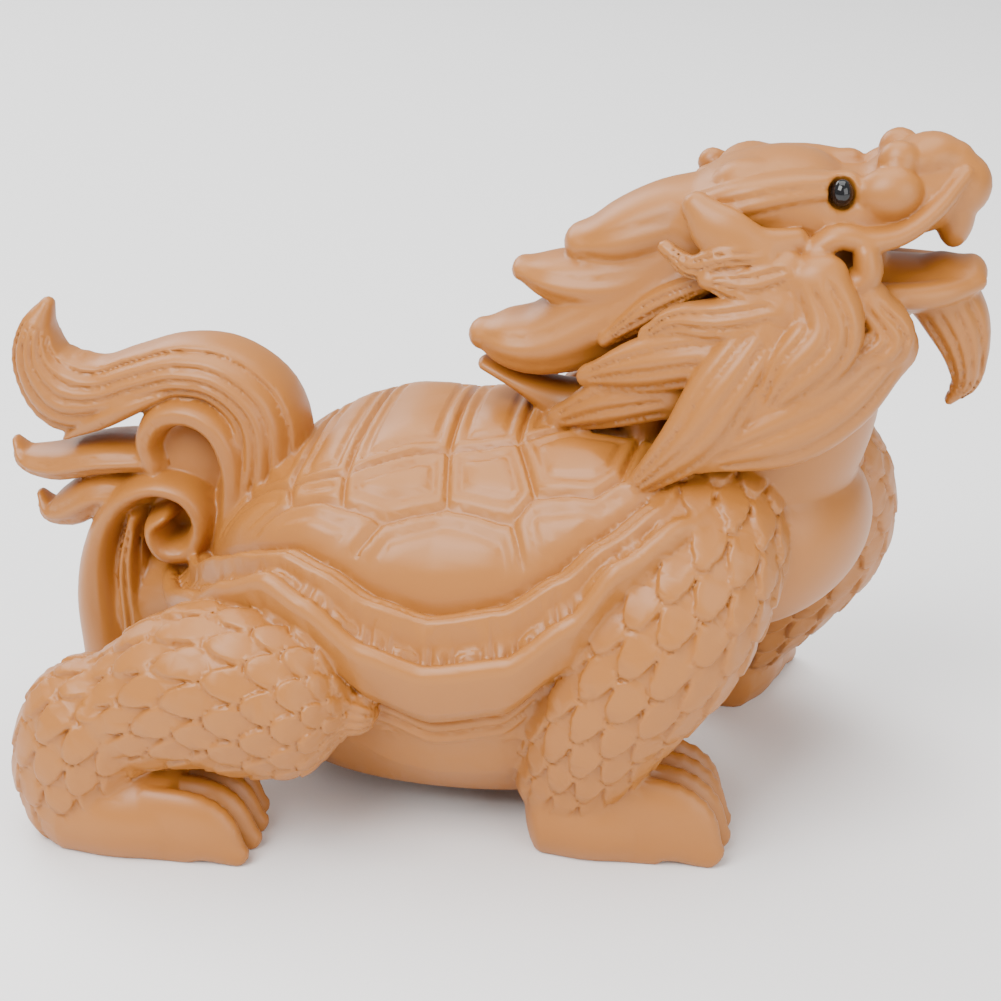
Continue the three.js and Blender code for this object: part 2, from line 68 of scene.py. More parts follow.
# Smooth lines and the block of clay that every form is added to.
def smooth_line(stations, spans):
    """Rows of x, y, z and sizes on a centripetal spline through the stations."""
    rows = np.array(stations, float)
    ends = np.vstack([2 * rows[0] - rows[1], rows, 2 * rows[-1] - rows[-2]])
    gaps = np.sqrt(np.linalg.norm(np.diff(ends[:, :3], axis=0), axis=1))
    line = []
    for span in range(len(rows) - 1):
        before, start, end, after = ends[span:span + 4]
        gap_before, gap, gap_after = gaps[span:span + 3]
        leave = ((start - before) / gap_before - (end - before) / (gap_before + gap) + (end - start) / gap) * gap
        arrive = ((end - start) / gap - (after - start) / (gap + gap_after) + (after - end) / gap_after) * gap
        for share in np.arange(spans) / spans:
            square = -3 * start + 3 * end - 2 * leave - arrive
            cube = 2 * start - 2 * end + leave + arrive
            line.append(start + share * leave + share ** 2 * square + share ** 3 * cube)
    line.append(rows[-1])
    line = np.array(line)
    line[:, 3:] = np.maximum(line[:, 3:], 0.2)
    return line


def ease(value, low, high):
    share = np.clip((value - low) / (high - low), 0, 1)
    return share * share * (3 - 2 * share)


class Clay:
    """A block of distances to the carved surface, negative inside it, on a regular grid."""

    def __init__(self, low, high, pitch):
        self.pitch = pitch
        self.first = np.floor(np.array(low) / pitch).astype(int)
        self.shape = tuple(np.ceil(np.array(high) / pitch).astype(int) - self.first + 1)
        self.field = np.full(self.shape, FAR, np.float32)

    def window(self, low, high):
        """The slices between two corners, and the coordinates along each axis."""
        slices, axes = [], []
        for axis in range(3):
            start = int(np.clip(math.floor(low[axis] / self.pitch) - self.first[axis], 0, self.shape[axis]))
            stop = int(np.clip(math.ceil(high[axis] / self.pitch) - self.first[axis] + 1, 0, self.shape[axis]))
            slices.append(slice(start, stop))
            places = (np.arange(start, stop) + self.first[axis]) * self.pitch
            shape = [1, 1, 1]
            shape[axis] = -1
            axes.append(places.astype(np.float32).reshape(shape))
        return tuple(slices), axes

    def add(self, slices, distance, blend):
        """Joins a form on, with a fillet about as wide as blend."""
        held = self.field[slices]
        share = np.clip(0.5 + 0.5 * (held - distance) / blend, 0, 1)
        self.field[slices] = held + (distance - held) * share - blend * share * (1 - share)

    def cut(self, slices, distance, blend=0.2):
        held = self.field[slices]
        share = np.clip(0.5 - 0.5 * (held + distance) / blend, 0, 1)
        self.field[slices] = held + (-distance - held) * share + blend * share * (1 - share)

    def mirror(self):
        """Copies the near half, Y below 0, onto the far half."""
        middle = -self.first[1]
        reach = min(middle, self.shape[1] - 1 - middle)
        near = self.field[:, middle - reach:middle, :]
        self.field[:, middle + 1:middle + reach + 1, :] = near[:, ::-1, :]

    def tube(self, stations, face=(0, 1, 0), blend=0.5, relief=None, spans=6, blunt=1.0, cut=False):
        """A tapering form along a smooth line. Stations are x, y, z, half width, half thickness."""
        line = smooth_line(stations, spans)
        centres = line[:, :3]
        tangents = np.gradient(centres, axis=0)
        tangents /= np.linalg.norm(tangents, axis=1, keepdims=True)
        thick = np.array(face, float) - (tangents @ np.array(face, float))[:, None] * tangents
        thick /= np.linalg.norm(thick, axis=1, keepdims=True)
        wide = np.cross(thick, tangents)
        sizes = line[:, 3:].max(1) + MARGIN
        reach = np.maximum(sizes[:-1], sizes[1:])[:, None]
        lows = np.minimum(centres[:-1], centres[1:]) - reach
        highs = np.maximum(centres[:-1], centres[1:]) + reach
        slices, _ = self.window(lows.min(0), highs.max(0))
        shape = tuple(part.stop - part.start for part in slices)
        nearest = np.full(shape, np.inf, np.float32)
        place, across, through, beyond = (np.zeros(shape, np.float32) for _ in range(4))
        for span in range(len(line) - 1):
            inner, near = self.window(lows[span], highs[span])
            inner = tuple(slice(part.start - whole.start, part.stop - whole.start)
                          for part, whole in zip(inner, slices))
            x, y, z = (values - np.float32(centre) for values, centre in zip(near, centres[span]))
            step = centres[span + 1] - centres[span]

            def along(direction):
                return x * np.float32(direction[0]) + y * np.float32(direction[1]) + z * np.float32(direction[2])

            dot = along(step)
            length = float(step @ step)
            share = np.clip(dot / length, 0, 1)
            square = x * x + y * y + z * z - share * (2 * dot - share * length)
            closer = square < nearest[inner]
            sideways = along(wide[span]) + share * (along(wide[span + 1]) - along(wide[span]))
            sideways -= share * (step @ wide[span] + share * (step @ (wide[span + 1] - wide[span])))
            inward = along(thick[span]) + share * (along(thick[span + 1]) - along(thick[span]))
            inward -= share * (step @ thick[span] + share * (step @ (thick[span + 1] - thick[span])))
            rest = np.sqrt(np.maximum(square - sideways ** 2 - inward ** 2, 0))
            for held, value in ((nearest, square), (place, share + span), (across, sideways),
                                (through, inward), (beyond, rest)):
                np.copyto(held[inner], value.astype(np.float32), where=closer)
        found = np.isfinite(nearest)
        place = place[found]
        widths = np.interp(place, np.arange(len(line)), line[:, 3]).astype(np.float32)
        depths = np.interp(place, np.arange(len(line)), line[:, 4]).astype(np.float32)
        ends = blunt * np.minimum(widths, depths)
        across = across[found] / widths
        through = through[found] / depths
        beyond = beyond[found] / ends
        size = np.sqrt(across ** 2 + through ** 2 + beyond ** 2)
        slope = np.sqrt((across / widths) ** 2 + (through / depths) ** 2 + (beyond / ends) ** 2) + 1e-4
        distance = size * (size - 1) / slope
        if relief:
            close = np.abs(distance) < MARGIN
            distance[close] -= relief(place[close] / (len(line) - 1), across[close], through[close])
        full = np.full(shape, FAR, np.float32)
        full[found] = distance
        if cut:
            self.cut(slices, full, blend)
        else:
            self.add(slices, full, blend)

    def lump(self, centre, radii, tilt=0, blend=0.5, cut=False):
        """An ellipsoid, turned by tilt degrees about Y."""
        reach = max(radii) + MARGIN
        slices, (x, y, z) = self.window([c - reach for c in centre], [c + reach for c in centre])
        x, y, z = x - centre[0], y - centre[1], z - centre[2]
        turn = math.radians(tilt)
        ahead = (x * math.cos(turn) + z * math.sin(turn)) / radii[0]
        side = y / radii[1]
        up = (z * math.cos(turn) - x * math.sin(turn)) / radii[2]
        size = np.sqrt(ahead ** 2 + side ** 2 + up ** 2)
        slope = np.sqrt((ahead / radii[0]) ** 2 + (side / radii[1]) ** 2 + (up / radii[2]) ** 2) + 1e-4
        distance = (size * (size - 1) / slope).astype(np.float32)
        if cut:
            self.cut(slices, distance, blend)
        else:
            self.add(slices, distance, blend)


# Relief laid over a tube. Each returns a height in millimetres over the plain form.
def strands(count, depth, sway=0.0, fade=0.12, tip_fade=0.12):
    """Carved locks: rounded ridges with a sharp furrow between them, running along the form."""
    def relief(share, across, through):
        wander = sway * np.sin(5.5 * share + 3 * across)
        furrow = 1 - np.abs(np.sin(0.5 * np.pi * count * (across + wander + 1)))
        strength = ease(share, 0, fade) * ease(1 - share, 0, tip_fade)
        return -depth * furrow ** 1.4 * strength
    return relief


def flutes(count, depth, fade=0.12, tip_fade=0.2):
    """Furrows spaced evenly round the form."""
    def relief(share, across, through):
        turn = np.arctan2(through, across)
        furrow = 1 - np.abs(np.sin(0.5 * count * turn))
        return -depth * furrow ** 1.4 * ease(share, 0, fade) * ease(1 - share, 0, tip_fade)
    return relief


def scales(rows, columns, rise, start=0.0, stop=1.0):
    """Overlapping scales with rounded free edges that point along the form."""
    def relief(share, across, through):
        place = share * rows
        turn = np.arctan2(through, across) / (2 * np.pi) * columns
        height = np.zeros_like(place)
        open_ones = np.ones(place.shape, bool)
        for ahead in (-1, 0, 1):
            row = np.floor(place) + ahead
            column = turn + 0.5 * np.mod(row, 2)
            side = column - np.floor(column) - 0.5
            edge = row + 1.42 - 0.78 * np.abs(2 * side) ** 2.4
            inside = open_ones & (place < edge)
            left = edge - place
            shape = (1 - left / 1.7) * ease(left, 0, 0.14)
            shape -= 0.45 * ease(np.abs(side), 0.36, 0.5)
            shape += 0.12 * np.sin(np.clip(left, 0, 1) * np.pi)
            height = np.where(inside, shape, height)
            open_ones &= ~inside
        strength = ease(share, start - 0.02, start + 0.02) * (1 - ease(share, stop - 0.02, stop + 0.02))
        return rise * (height - 0.45) * strength
    return relief


# Shell: the same oval, heights and seams as the solid's.
SHELL_CENTRE = -4.0
DOME_HALF_LENGTH = 34.0
DOME_HALF_WIDTH = 25.0
DOME_TOP = 52.0
DOME_LEAN = 0.06
DOME_FULLNESS = 0.6
OVAL_POWER = 2.2
RIM_WIDTH = 6.0
BELLY_HEIGHT = 5.0
LIP_HEIGHTS = ((0, 46), (28, 48.5), (45, 47.3), (57, 43), (65, 36.5), (76, 31.2), (90, 29.6), (101, 31.8),
               (111, 36.6), (119, 39), (129, 36), (139, 32.2), (155, 29), (180, 28))
FOOT_HEIGHTS = ((0, 47), (28, 48.8), (45, 47.4), (57, 43.4), (65, 39.5), (76, 35.4), (90, 33.7), (101, 35.4),
                (111, 38.5), (119, 39.9), (129, 38.3), (139, 35.8), (155, 31.5), (180, 29.5))
SEAM_CORNERS = {
    "rearA": (-31, 9), "rearB": (-24, 14), "midA": (-16.5, 15.5), "midB": (-8.4, 12), "midC": (-4.4, 11.4),
    "midD": (4.2, 10.4), "frontA": (10.5, 7.6), "frontB": (19, 8.6), "lowA": (-23, 17.6), "lowB": (-16, 19.6),
    "lowC": (-10.8, 20.4), "lowD": (-3.4, 18.4), "lowE": (5, 20), "lowF": (7.4, 17.8), "lowG": (14.6, 18.2),
    "lowH": (17.6, 16.4),
}
FOOT_ANGLES = {"footA": 158, "footB": 136, "footC": 122, "footD": 108, "footE": 88, "footF": 71, "footG": 55,
               "footH": 40, "footI": 22}
SEAMS = ("rearA-rearB-midA-midB-midC-midD-frontA-frontB-footI", "footA-rearA", "rearB-lowA-footB",
         "lowA-lowB-midA", "lowB-lowC-lowD-midC", "lowC-footD", "lowD-lowE-lowF-midD", "lowE-footF",
         "lowF-lowG-lowH-footH", "lowH-frontB", "footB-lowA")
CROSS_SEAMS = ("rearA", "rearB", "midA", "midC", "midD", "frontA", "frontB")


def height_round(table, degrees):
    angles, heights = np.array(table, float).T
    spot = np.clip(np.searchsorted(angles, degrees), 1, len(angles) - 1)
    share = (degrees - angles[spot - 1]) / (angles[spot] - angles[spot - 1])
    share = 0.5 * (share + share * share * (3 - 2 * share))
    return heights[spot - 1] + share * (heights[spot] - heights[spot - 1])


def oval_point(degrees, offset=0.0):
    across, along = math.cos(math.radians(degrees)), math.sin(math.radians(degrees))
    reach = (abs(across) ** OVAL_POWER + abs(along) ** OVAL_POWER) ** (-1 / OVAL_POWER)
    return (SHELL_CENTRE + (DOME_HALF_LENGTH + offset) * across * reach, (DOME_HALF_WIDTH + offset) * along * reach)


def dome_height(x, y):
    along = np.abs((x - SHELL_CENTRE) / DOME_HALF_LENGTH)
    across = np.abs(y / DOME_HALF_WIDTH)
    share = np.minimum((along ** OVAL_POWER + across ** OVAL_POWER) ** (1 / OVAL_POWER), 1)
    degrees = np.degrees(np.arctan2(across, (x - SHELL_CENTRE) / DOME_HALF_LENGTH))
    foot = height_round(FOOT_HEIGHTS, degrees)
    top = DOME_TOP + DOME_LEAN * (x - SHELL_CENTRE)
    return foot + (top - foot) * (1 - share ** 2) ** DOME_FULLNESS


def seam_distance(x, y):
    """How far a point of the dome lies from the nearest seam between scutes, seen from above."""
    corners = dict(SEAM_CORNERS)
    for name, degrees in FOOT_ANGLES.items():
        spot_x, spot_y = oval_point(degrees)
        corners[name] = (spot_x, spot_y)
    segments = []
    for seam in SEAMS:
        names = seam.split("-")
        segments += [(corners[a], corners[b]) for a, b in zip(names, names[1:])]
    segments += [(corners[name], (corners[name][0], -0.5)) for name in CROSS_SEAMS]
    nearest = np.full(np.broadcast(x, y).shape, 99.0)
    for (ax, ay), (bx, by) in segments:
        share = np.clip(((x - ax) * (bx - ax) + (y - ay) * (by - ay)) / ((bx - ax) ** 2 + (by - ay) ** 2), 0, 1)
        nearest = np.minimum(nearest, np.hypot(x - ax - share * (bx - ax), y - ay - share * (by - ay)))
    return nearest


def scute_relief(x, y):
    """A seam, a raised frame, a groove and a plate that swells to its middle."""
    gap = seam_distance(x, y)
    seam = -0.55 * (1 - ease(gap, 0.05, 0.5))
    frame = 0.35 * ease(gap, 0.1, 0.6) * (1 - ease(gap, 1.2, 1.6))
    plate = 0.5 * ease(gap, 1.9, 2.6) + 0.3 * ease(gap, 2.2, 7)
    return seam + frame + plate


def oval_place(x, y):
    """The degrees round the shell's oval, and how far outside its foot, for points seen from above."""
    ahead, side = np.abs(x - SHELL_CENTRE), np.abs(y)
    offset = np.zeros(np.broadcast(x, y).shape)
    for _ in range(12):
        length, width = DOME_HALF_LENGTH + offset, DOME_HALF_WIDTH + offset
        size = ((ahead / length) ** OVAL_POWER + (side / width) ** OVAL_POWER) ** (1 / OVAL_POWER)
        offset = np.clip(offset + (size - 1) * 0.5 * (length + width) * 0.9, -20, 40)
    degrees = np.degrees(np.arctan2(side / (DOME_HALF_WIDTH + offset), (x - SHELL_CENTRE) / (DOME_HALF_LENGTH + offset)))
    return degrees, offset


def outline_distance(across, up, corners):
    """Distance to a closed outline whose corners vary from column to column."""
    nearest = np.full(np.broadcast(across, up).shape, 1e6)
    sign = np.ones(nearest.shape)
    for (ax, ay), (bx, by) in zip(corners, corners[1:] + corners[:1]):
        ex, ey = bx - ax, by - ay
        wx, wy = across - ax, up - ay
        share = np.clip((wx * ex + wy * ey) / (ex * ex + ey * ey), 0, 1)
        nearest = np.minimum(nearest, (wx - ex * share) ** 2 + (wy - ey * share) ** 2)
        above, below, side = up >= ay, up < by, ex * wy > ey * wx
        sign = np.where((above & below & side) | ~(above | below | side), -sign, sign)
    return sign * np.sqrt(nearest)


FRET_CELL = 7.6
FRET_STROKES = (((0, 0), (0, 1)), ((0.2, 0.25), (0.62, 0.25)), ((0.62, 0.25), (0.62, 0.78)),
                ((0.2, 0.25), (0.2, 0.62)), ((0.2, 0.62), (0.42, 0.62)), ((0.78, 0.45), (0.78, 1)))


def fret_relief(arc, share):
    """Squared hooks along the rim band. Arc is in millimetres and share runs across the band."""
    cell = np.mod(arc / FRET_CELL, 1)
    nearest = np.full(np.broadcast(arc, share).shape, 9.0)
    for (ax, ay), (bx, by) in FRET_STROKES:
        ex, ey = (bx - ax) * FRET_CELL, (by - ay) * 2.6
        for shift in (-1, 0, 1):
            wx, wy = (cell - ax + shift) * FRET_CELL, (share - ay) * 2.6
            part = np.clip((wx * ex + wy * ey) / (ex * ex + ey * ey), 0, 1)
            nearest = np.minimum(nearest, np.hypot(wx - ex * part, wy - ey * part))
    return -0.4 * (1 - ease(nearest, 0.12, 0.4))


def carve_shell(clay):
    reach = RIM_WIDTH + 3
    slices, (x, y, z) = clay.window((SHELL_CENTRE - DOME_HALF_LENGTH - reach, -DOME_HALF_WIDTH - reach, 2),
                                    (SHELL_CENTRE + DOME_HALF_LENGTH + reach, 0, DOME_TOP + 6))
    x, y, z = x[:, :, 0].astype(float), y[:, :, 0].astype(float), z.astype(float)
    degrees, offset = oval_place(x, y)
    lip = height_round(LIP_HEIGHTS, degrees)
    foot = height_round(FOOT_HEIGHTS, degrees)
    top = dome_height(x, np.abs(y) + 0 * x) + scute_relief(x, np.abs(y) + 0 * x) * (1 - ease(offset, -1.2, -0.6))
    slope = np.hypot(*np.gradient(top, clay.pitch))
    steep = 1 / np.sqrt(1 + np.minimum(slope, 3) ** 2)
    body = np.maximum((z - top[:, :, None]) * steep[:, :, None], offset[:, :, None] + 0.2)
    body = np.maximum(body, BELLY_HEIGHT + 12 - z)
    clay.add(slices, body.astype(np.float32), 0.2)
    columns = (offset > -12) & (offset < reach)
    across = offset[columns][:, None]
    low, ground = lip[columns][:, None], foot[columns][:, None]
    up = z.reshape(1, -1)
    middle = ground + (low - ground) * 0.4 - 0.8
    belly = low - 11 + 0.6 * (BELLY_HEIGHT - low + 11)
    corners = [(-12, BELLY_HEIGHT), (-8.5, BELLY_HEIGHT), (-3, belly), (-0.4, low - 13.6), (0.5, low - 12.9),
               (0.5, low - 12.1), (0, low - 11.7), (0.9, low - 11.2), (0.9, low - 10.4), (0.2, low - 9.8),
               (RIM_WIDTH - 3.4, low - 9), (RIM_WIDTH - 0.9, low - 6.6), (RIM_WIDTH - 0.1, low - 4),
               (RIM_WIDTH + 0.6, low - 1.8), (RIM_WIDTH + 0.5, low - 0.7), (RIM_WIDTH - 0.1, low),
               (RIM_WIDTH - 1, low - 0.1), (RIM_WIDTH - 1.5, low - 0.9), (3.1, middle), (2.8, ground + 0.2),
               (2.2, ground + 0.5), (1.7, ground - 0.1), (1.2, ground + 0.3), (0.5, ground + 0.2),
               (0.1, ground - 0.5), (-3, ground - 1), (-12, ground - 1)]
    rim = outline_distance(across, up, corners)
    table_degrees = np.arange(0, 181)
    outer = np.array([oval_point(step, 4) for step in table_degrees])
    table_arc = np.concatenate([[0], np.cumsum(np.hypot(*np.diff(outer, axis=0).T))])
    arc = np.interp(degrees[columns], table_degrees, table_arc)[:, None]
    band = (offset[columns][:, None] - 2.9) / 2.2
    on_band = ease(band, 0, 0.1) * (1 - ease(band, 1, 1.15))
    rim = rim - fret_relief(arc, band) * on_band * ease(up, low - 6, low - 4)
    block = np.full(clay.field[slices].shape, FAR, np.float32)
    block[columns] = rim - 0.15
    clay.add(slices, block, 0.3)


# Tail: a flame of locks in the middle plane. Stations are x, z, half width, half thickness.
def flat(stations, y=0.0):
    return [(x, y, z, wide, thick) for x, z, wide, thick in stations]


def carve_tail(clay):
    clay.tube(flat([(-37, 27, 5, 8), (-33, 36, 5.4, 8), (-30.5, 44, 5.6, 7.6), (-31.4, 50.2, 5.2, 7),
                    (-35.8, 54, 4.6, 6.6), (-41.2, 54.6, 4.2, 6.2), (-47, 52.8, 4.2, 5.8), (-52.5, 50.6, 4.6, 5.4),
                    (-57.6, 50.4, 6, 5), (-61, 54.2, 4.2, 4.4), (-61.2, 58.6, 2.6, 3.4), (-59.8, 61.8, 1, 1.5)]),
              relief=strands(6, 0.7, 0.04), spans=5)
    clay.lump((-42, 0, 40), (8, 4.4, 9))
    clay.tube(flat([(-30, 21.8, 9, 10), (-38.7, 23.8, 8, 9), (-47, 21, 7, 7.5)]))
    clay.tube(flat([(-48.6, 12, 4, 8), (-48.8, 20, 3.4, 8), (-49.2, 28, 2.6, 7.6), (-48, 35, 1.4, 7)]),
              relief=strands(4, 0.8))
    clay.tube(flat([(-43, 52.2, 1, 6), (-47.7, 50.2, 1.8, 6.6), (-52.4, 47.6, 1.8, 5.8), (-57.8, 44.4, 0.5, 3.5)]),
              relief=strands(2, 0.4))
    clay.tube(flat([(-45, 42.6, 2.2, 6), (-53, 41.8, 2.4, 6), (-60, 40, 2.3, 4.6), (-64.4, 40.4, 1.5, 3),
                    (-65.8, 42.6, 0.5, 1.2)]), relief=strands(3, 0.4))
    clay.tube(flat([(-47, 38, 2.4, 6), (-53.6, 36.8, 2.9, 6), (-58.4, 33.8, 2.8, 4.6), (-61.6, 33, 1.5, 3),
                    (-63, 35, 0.5, 1.2)]), relief=strands(3, 0.4))
    clay.tube(flat([(-34.6, 35, 2.6, 8.4), (-33.9, 43, 2.6, 8.4), (-36, 48.2, 2.5, 8.2), (-39.8, 50, 2.4, 7.8),
                    (-43.8, 48.9, 2.4, 7.4), (-45.8, 45.4, 2.2, 7), (-45, 42, 2, 6.6)]),
              relief=strands(2, 0.5))
    clay.tube(flat([(-53.2, 13.4, 4.8, 7), (-54, 22, 4.2, 7.4), (-53.6, 28.4, 3.2, 7.6), (-51.8, 33.9, 2.4, 8),
                    (-48.4, 38.2, 2, 8.6), (-43.9, 40, 1.9, 9), (-39.8, 38.8, 2.1, 9.2), (-38.2, 35.2, 2.3, 9.2),
                    (-40, 31.4, 2.4, 9.2), (-43.6, 31.2, 2.2, 9.4), (-44.9, 34.4, 1.8, 9.4), (-43, 36.2, 1.2, 9)]),
              relief=strands(2, 0.3, tip_fade=0.4), spans=5)


# Legs. Stations run from the body to the ankle.
FRONT_LEG_NEAR = [(28.3, -8, 45.8, 9, 8), (27.1, -16.4, 40, 10.4, 8), (23.3, -20.6, 31.4, 10.6, 8.6),
                  (16.6, -20.4, 20.6, 9.4, 8.2), (12.6, -17.6, 9.5, 7.6, 7)]
FRONT_LEG_FAR = [(35, 6, 46, 10, 8), (39.5, 13, 39, 10.4, 8.4), (39.8, 17.5, 30, 10.2, 8.6),
                 (34, 22, 18.5, 9, 8), (28, 25.5, 8.5, 7.4, 7)]
REAR_THIGH = [(-13.6, -27, 21, 3, 3), (-17.5, -27, 21.6, 9, 7), (-24, -27, 22.4, 11, 8.6),
              (-33, -27, 22.4, 10.6, 8.6), (-42.5, -27, 18.4, 8, 7.4)]
REAR_SHANK = [(-42, -26, 21.5, 5, 6), (-46.5, -27, 17, 8.6, 7.6), (-49.6, -27, 10.5, 8.4, 7.4),
              (-50, -26.5, 5, 7.4, 6.8)]
TOE_SPACING = 3.6


def carve_foot(clay, heel, turn, heel_height, length, toe_height, toe_length):
    """A blunt heel block and four clawed toes that fan from it. Turn is in degrees from +X."""
    spin = math.radians(turn)

    def forward(along, across, z, wide, thick):
        return (heel[0] + along * math.cos(spin) - across * math.sin(spin),
                heel[1] + along * math.sin(spin) + across * math.cos(spin), z, wide, thick)

    face = (-math.sin(spin), math.cos(spin), 0)
    clay.tube([forward(-1, 0, heel_height * 0.36, heel_height * 0.56, 7),
               forward(length * 0.45, 0, heel_height * 0.38, heel_height * 0.62, 8.2),
               forward(length, 0, heel_height * 0.36, heel_height * 0.58, 8)], face, blunt=0.4)
    for place in (-1.5, -0.5, 0.5, 1.5):
        reach = toe_length - abs(place) * 0.8
        across = place * TOE_SPACING
        clay.tube([forward(length - 2, across, toe_height * 0.5, toe_height * 0.56, 2.1),
                   forward(length + reach * 0.55, across * 1.05, toe_height * 0.44, toe_height * 0.5, 2.2),
                   forward(length + reach, across * 1.1, toe_height * 0.12, toe_height * 0.18, 1.2)],
                  face, blend=0.3)


def carve_rear_leg(clay):
    clay.tube(REAR_THIGH, relief=scales(8, 14, 0.9))
    clay.tube(REAR_SHANK, relief=scales(5, 12, 0.9))
    carve_foot(clay, heel=(-50, -26.6), turn=3, heel_height=12, length=12, toe_height=9.5, toe_length=11)


def carve_front_legs(clay):
    clay.tube(FRONT_LEG_NEAR, relief=scales(11, 14, 0.9))
    clay.tube(FRONT_LEG_FAR, relief=scales(11, 14, 0.9))
    carve_foot(clay, heel=(10, -17), turn=4, heel_height=12, length=10, toe_height=11.5, toe_length=11.5)
    carve_foot(clay, heel=(26.6, 23), turn=72, heel_height=11.5, length=8, toe_height=10, toe_length=9)


def carve_neck(clay):
    clay.lump((31.5, 1, 38), (16.5, 17, 13), 20)
    clay.tube([(29, 0, 40, 11, 13), (35, 0, 52, 11.5, 13), (37, 0, 63, 11, 12), (37, 0, 74, 10, 10)])


def carve_horn(clay):
    grain = strands(3, 0.35, 0.05)
    clay.tube(flat([(29, 77.5, 6, 7), (21.4, 71, 6.4, 7.4), (13.2, 64.9, 6, 7.2), (5.4, 61.3, 4.6, 6.6),
                    (0.5, 61.2, 3.4, 5.4), (-2, 61.4, 2, 3)]), relief=grain)
    clay.tube(flat([(21.4, 71.9, 5, 6.8), (12.7, 69.3, 4.4, 6.4), (6.4, 69.6, 2.9, 5.4), (3, 70.2, 1.5, 3)]),
              relief=grain)
    clay.tube(flat([(29, 80.2, 4, 6.8), (21.3, 77.2, 5.2, 6.6), (14.4, 74.8, 4.2, 6), (10.4, 74, 2.4, 4)]),
              relief=grain)
    clay.tube(flat([(-2, 57.5, 0.8, 2), (3, 55.5, 1.4, 3.5), (8.9, 52.8, 3.2, 4), (15.8, 52, 4.2, 6)]))


def carve_head(clay):
    clay.tube(flat([(24.5, 77, 5, 8), (30, 79.5, 6.4, 9.4), (36, 80.3, 6.4, 9.4), (41, 79.8, 4.8, 8.8),
                    (46, 80.6, 4.6, 7.2), (51, 82.2, 4.6, 5.6), (54.6, 83.2, 4, 4)]))
    clay.tube(flat([(43.8, 82.4, 1.8, 4.2), (47.2, 84.8, 2.4, 4.4), (51.4, 86.4, 2.9, 4), (54, 86, 2.4, 2.8)]))
    clay.lump((54.6, 0, 80), (2.4, 3.6, 4.4))
    clay.tube(flat([(38.8, 71.4, 4, 8.4), (45.5, 70.5, 3.6, 8), (52.1, 71.2, 2.8, 6.8), (57, 72.5, 2, 4.4)]))
    clay.lump((47.6, -3.2, 86.4), (2.5, 2.2, 2.5), 20)
    clay.lump((46.6, -5.4, 83), (4, 2.8, 3.2), 15)
    clay.tube([(41.8, -5.2, 83.4, 2.2, 2.4), (35.6, -6.6, 83, 2.8, 3), (29.6, -7.6, 81.7, 3, 3),
               (24.9, -6.5, 80.5, 2, 2)], relief=strands(3, 0.5))
    clay.tube([(38.6, -10.6, 77.2, 1.6, 2), (41.2, -10.2, 79, 1.5, 2), (44.7, -9, 78.4, 1.4, 2.2),
               (48.5, -7.2, 79, 1.3, 2.2), (52.2, -5.2, 81.6, 1.2, 2), (55.2, -2.4, 85, 1, 1.6)], blend=0.3)
    clay.tube([(38.4, -10.4, 76.6, 1.4, 2), (39.2, -10.6, 74, 1.5, 2.4), (42, -10.4, 73.2, 1.7, 2.6),
               (44.8, -10.2, 74.8, 1.8, 2.6), (44.6, -10, 77.2, 1.6, 2.4)], blend=0.3)
    clay.tube([(44, -7.8, 71.9, 1.2, 1.6), (48.8, -7.2, 71.3, 1.6, 1.8), (53.6, -5.6, 71.5, 1.6, 1.8),
               (57.6, -2.6, 72.2, 1.2, 1.4)], blend=0.3)
    clay.tube([(36.4, -10.6, 78.4, 1.6, 1.6), (32, -11.8, 77.6, 2.8, 2), (27.6, -11.6, 79.5, 3.2, 2),
               (24.8, -10.4, 82, 1.8, 1.6)], blend=0.3)
    clay.lump((29.8, -4, 83.8), (3.6, 3.2, 2.4), 10)


MANE_LOCKS = (
    ((33.2, -12.6, 77, 1.6, 1.6), (28, -13.2, 76.6, 1.6, 1.6), (24.8, -12.2, 75.2, 1.5, 1.5),
     (21.4, -10.4, 76.8, 0.9, 1)),
    ((36.1, -12.6, 75, 2.8, 2.2), (31.4, -13.6, 73.6, 2.6, 2.2), (26.7, -13.6, 74.2, 1.2, 1.4)),
    ((26.8, -9.6, 72.8, 1.4, 2), (20.3, -8, 68.7, 2, 2.2), (14.2, -7, 63.9, 1, 1.4)),
    ((35.2, -13.4, 70.8, 3.4, 3), (28.6, -14.2, 69.4, 3, 2.8), (23, -12.8, 68.6, 2, 2.2),
     (19.8, -11.8, 66.4, 1.2, 1.4)),
    ((33.4, -13.6, 66.2, 3.4, 3.4), (25.9, -13.4, 64.8, 4, 3.4), (18.4, -11.2, 62.2, 3.4, 3),
     (12.3, -8.6, 59.7, 1.4, 1.6)),
    ((23.2, -10, 59.2, 3.6, 4), (15.6, -8.6, 56.8, 3.6, 3.4), (8.8, -6, 53, 1.8, 2)),
    ((33.8, -13.4, 68.1, 4.2, 3.6), (30, -16.2, 62.4, 4.6, 3.6), (26.1, -17.2, 56.1, 4, 3.2),
     (17.8, -16, 47.3, 0.9, 1.2)),
    ((38.9, -12.6, 74.5, 4, 3), (40.8, -14.6, 69.1, 4.6, 3.2), (37.1, -16.4, 64.1, 4, 3),
     (34, -17, 59.6, 1.2, 1.6)),
    ((47.8, -9.6, 66, 3.6, 3.6), (42, -13.4, 61.3, 5.6, 4.2), (35.4, -15.8, 57.4, 5.4, 3.8),
     (26.9, -17, 53, 1.6, 1.8)),
    ((45.1, -10.2, 71.6, 2.6, 3), (47.6, -11, 67.5, 3.6, 3.2), (42.9, -13.2, 64.3, 2.4, 2.6)),
)


